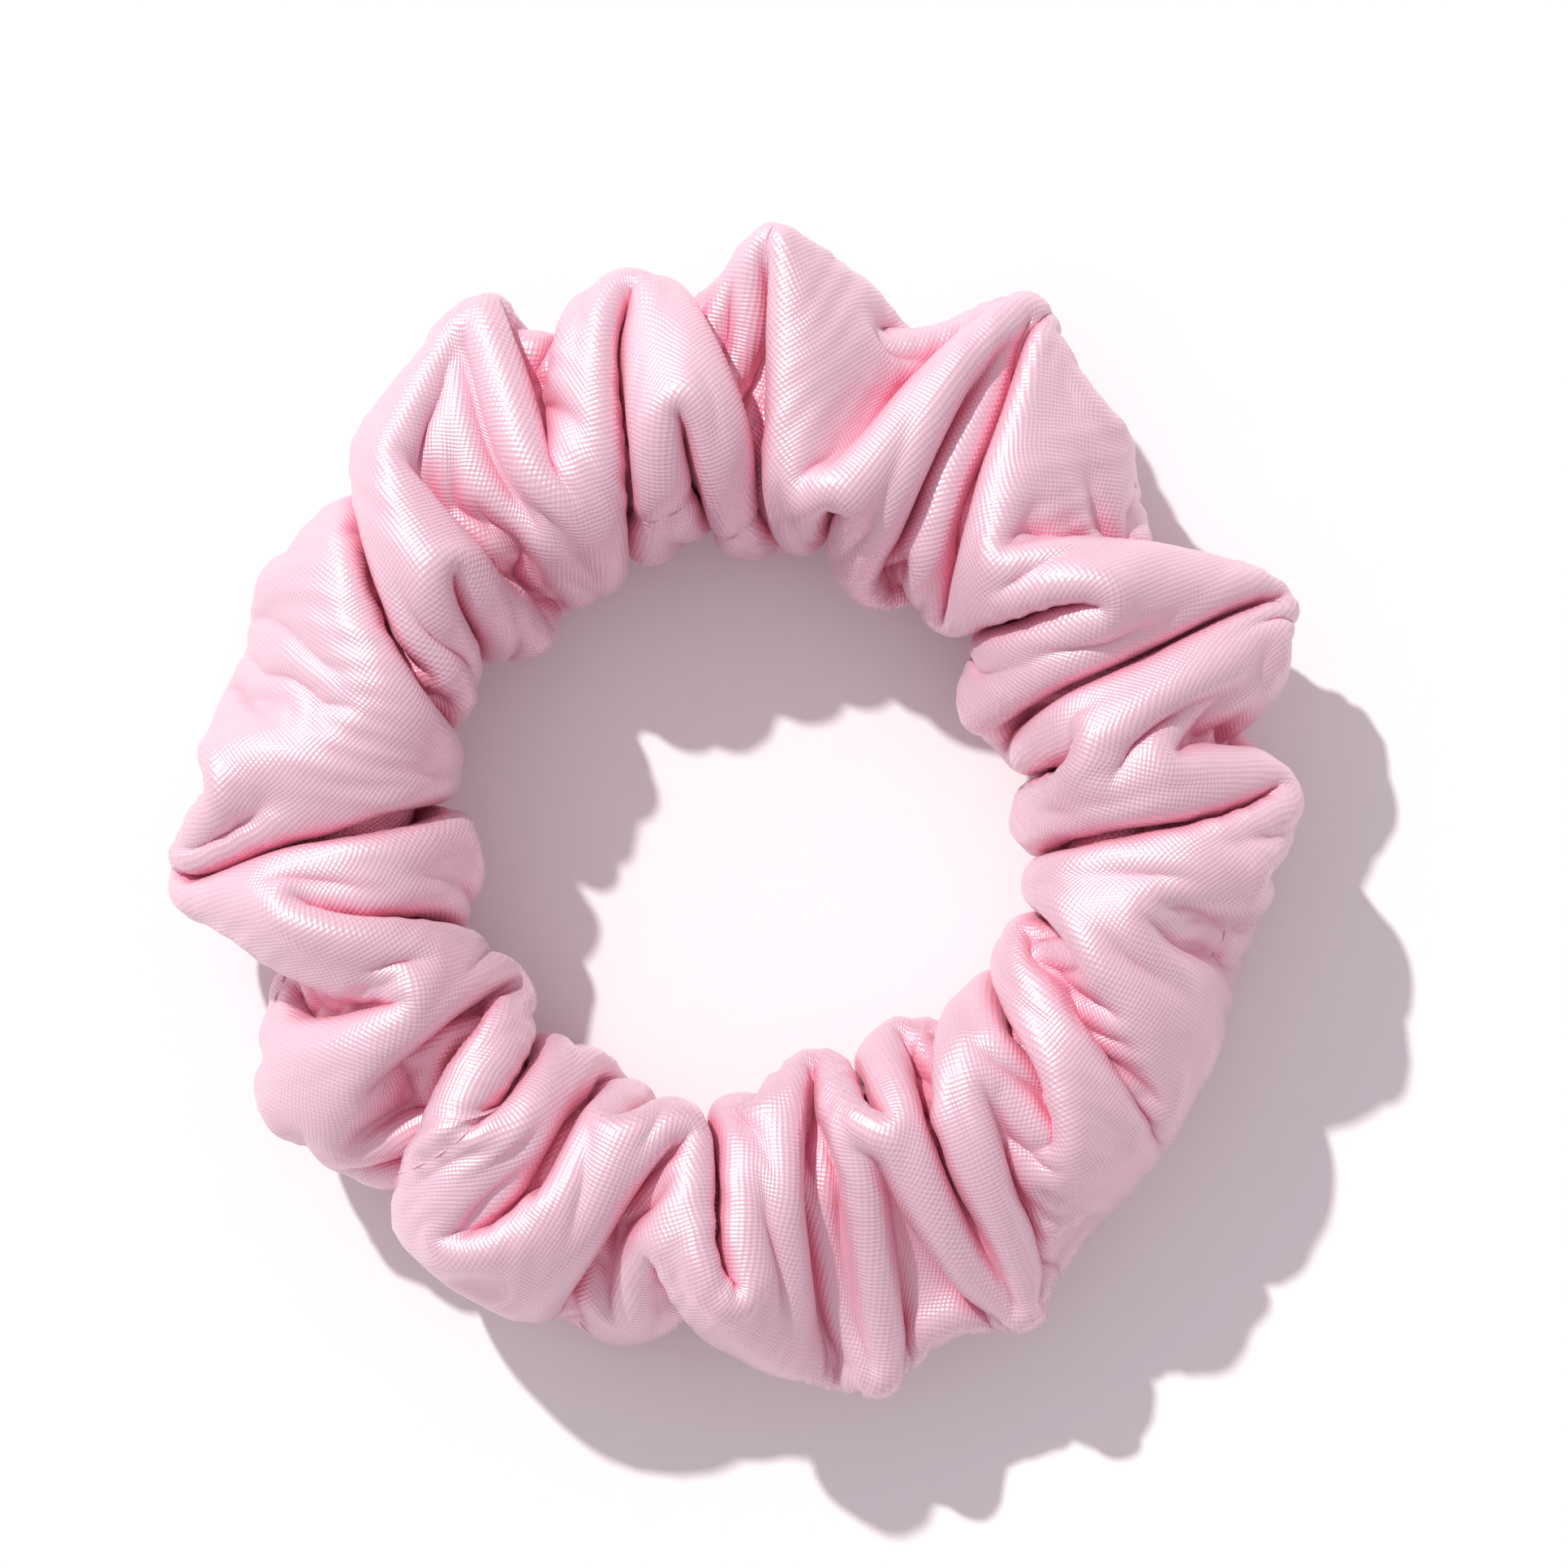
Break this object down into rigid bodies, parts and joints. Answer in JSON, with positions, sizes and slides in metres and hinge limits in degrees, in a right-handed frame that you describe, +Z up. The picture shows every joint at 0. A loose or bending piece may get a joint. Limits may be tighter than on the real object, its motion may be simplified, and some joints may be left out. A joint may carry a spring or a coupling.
{
  "type": "scrunchie",
  "caption": "Gathered satin hair scrunchie: a sewn fabric sleeve bunched over a flat elastic ring, stretching evenly to loop round hair.",
  "frame": {"origin": "centre of the ring on the plane it rests on", "axes": "+Z up, along the ring's axis; +Y and +X lie in the resting plane, with the closing seam at 229 degrees from +X"},
  "size_m": [0.1074, 0.11, 0.0265],
  "materials": {
    "satin": "light pink polyester charmeuse satin, glossy along the floats, saturated pink inside the folds",
    "elastic": "white braided flat elastic, matt",
    "thread": "spun polyester sewing thread matched to the satin"
  },
  "bodies": {
    "closing_seam": {"sleeve_end_outer": "satin", "elastic_band": "elastic", "elastic_join_thread": "thread", "long_seam_needle_thread": "thread", "long_seam_bobbin_thread": "thread", "closing_seam_needle_thread": "thread", "closing_seam_bobbin_thread": "thread"},
    "gather_01": {"sleeve_gather_01": "satin"},
    "gather_02": {"sleeve_gather_02": "satin"},
    "gather_03": {"sleeve_gather_03": "satin"},
    "gather_04": {"sleeve_gather_04": "satin"},
    "gather_05": {"sleeve_gather_05": "satin"},
    "gather_06": {"sleeve_gather_06": "satin"},
    "gather_07": {"sleeve_gather_07": "satin"},
    "gather_08": {"sleeve_gather_08": "satin"},
    "gather_09": {"sleeve_gather_09": "satin"},
    "gather_10": {"sleeve_gather_10": "satin"},
    "gather_11": {"sleeve_gather_11": "satin"},
    "gather_12": {"sleeve_gather_12": "satin"},
    "gather_13": {"sleeve_gather_13": "satin"},
    "gather_14": {"sleeve_gather_14": "satin"},
    "gather_15": {"sleeve_gather_15": "satin"},
    "gather_16": {"sleeve_gather_16": "satin"},
    "gather_17": {"sleeve_gather_17": "satin"},
    "sleeve_tail": {"sleeve_end_inner": "satin"}
  },
  "joints": [
    {"name": "stretch", "type": "slide", "parent": "closing_seam", "child": "gather_01", "axis": [0.8572, -0.515, 0], "range_m": [0, 0.01129], "deforming": ["elastic_band", "long_seam_needle_thread", "long_seam_bobbin_thread"]},
    {"name": "stretch_02", "type": "slide", "parent": "gather_01", "child": "gather_02", "axis": [0.9816, -0.1908, 0], "range_m": [0, 0.01129]},
    {"name": "stretch_03", "type": "slide", "parent": "gather_02", "child": "gather_03", "axis": [0.9877, 0.1564, 0], "range_m": [0, 0.01129]},
    {"name": "stretch_04", "type": "slide", "parent": "gather_03", "child": "gather_04", "axis": [0.8746, 0.4848, 0], "range_m": [0, 0.01129]},
    {"name": "stretch_05", "type": "slide", "parent": "gather_04", "child": "gather_05", "axis": [0.6561, 0.7547, 0], "range_m": [0, 0.01129]},
    {"name": "stretch_06", "type": "slide", "parent": "gather_05", "child": "gather_06", "axis": [0.3584, 0.9336, 0], "range_m": [0, 0.01129]},
    {"name": "stretch_07", "type": "slide", "parent": "gather_06", "child": "gather_07", "axis": [0.0175, 0.9998, 0], "range_m": [0, 0.01129]},
    {"name": "stretch_08", "type": "slide", "parent": "gather_07", "child": "gather_08", "axis": [-0.3256, 0.9455, 0], "range_m": [0, 0.01129]},
    {"name": "stretch_09", "type": "slide", "parent": "gather_08", "child": "gather_09", "axis": [-0.6293, 0.7771, 0], "range_m": [0, 0.01129]},
    {"name": "stretch_10", "type": "slide", "parent": "gather_09", "child": "gather_10", "axis": [-0.8572, 0.515, 0], "range_m": [0, 0.01129]},
    {"name": "stretch_11", "type": "slide", "parent": "gather_10", "child": "gather_11", "axis": [-0.9816, 0.1908, 0], "range_m": [0, 0.01129]},
    {"name": "stretch_12", "type": "slide", "parent": "gather_11", "child": "gather_12", "axis": [-0.9877, -0.1564, 0], "range_m": [0, 0.01129]},
    {"name": "stretch_13", "type": "slide", "parent": "gather_12", "child": "gather_13", "axis": [-0.8746, -0.4848, 0], "range_m": [0, 0.01129]},
    {"name": "stretch_14", "type": "slide", "parent": "gather_13", "child": "gather_14", "axis": [-0.6561, -0.7547, 0], "range_m": [0, 0.01129]},
    {"name": "stretch_15", "type": "slide", "parent": "gather_14", "child": "gather_15", "axis": [-0.3584, -0.9336, 0], "range_m": [0, 0.01129]},
    {"name": "stretch_16", "type": "slide", "parent": "gather_15", "child": "gather_16", "axis": [-0.0175, -0.9998, 0], "range_m": [0, 0.01129]},
    {"name": "stretch_17", "type": "slide", "parent": "gather_16", "child": "gather_17", "axis": [0.3256, -0.9455, 0], "range_m": [0, 0.01129]},
    {"name": "stretch_18", "type": "slide", "parent": "gather_17", "child": "sleeve_tail", "axis": [0.6293, -0.7771, 0], "range_m": [0, 0.01129]}
  ],
  "couplings": [
    {"joint": "stretch_02", "follows": "stretch", "ratio": 1},
    {"joint": "stretch_03", "follows": "stretch", "ratio": 1},
    {"joint": "stretch_04", "follows": "stretch", "ratio": 1},
    {"joint": "stretch_05", "follows": "stretch", "ratio": 1},
    {"joint": "stretch_06", "follows": "stretch", "ratio": 1},
    {"joint": "stretch_07", "follows": "stretch", "ratio": 1},
    {"joint": "stretch_08", "follows": "stretch", "ratio": 1},
    {"joint": "stretch_09", "follows": "stretch", "ratio": 1},
    {"joint": "stretch_10", "follows": "stretch", "ratio": 1},
    {"joint": "stretch_11", "follows": "stretch", "ratio": 1},
    {"joint": "stretch_12", "follows": "stretch", "ratio": 1},
    {"joint": "stretch_13", "follows": "stretch", "ratio": 1},
    {"joint": "stretch_14", "follows": "stretch", "ratio": 1},
    {"joint": "stretch_15", "follows": "stretch", "ratio": 1},
    {"joint": "stretch_16", "follows": "stretch", "ratio": 1},
    {"joint": "stretch_17", "follows": "stretch", "ratio": 1},
    {"joint": "stretch_18", "follows": "stretch", "ratio": 1}
  ]
}
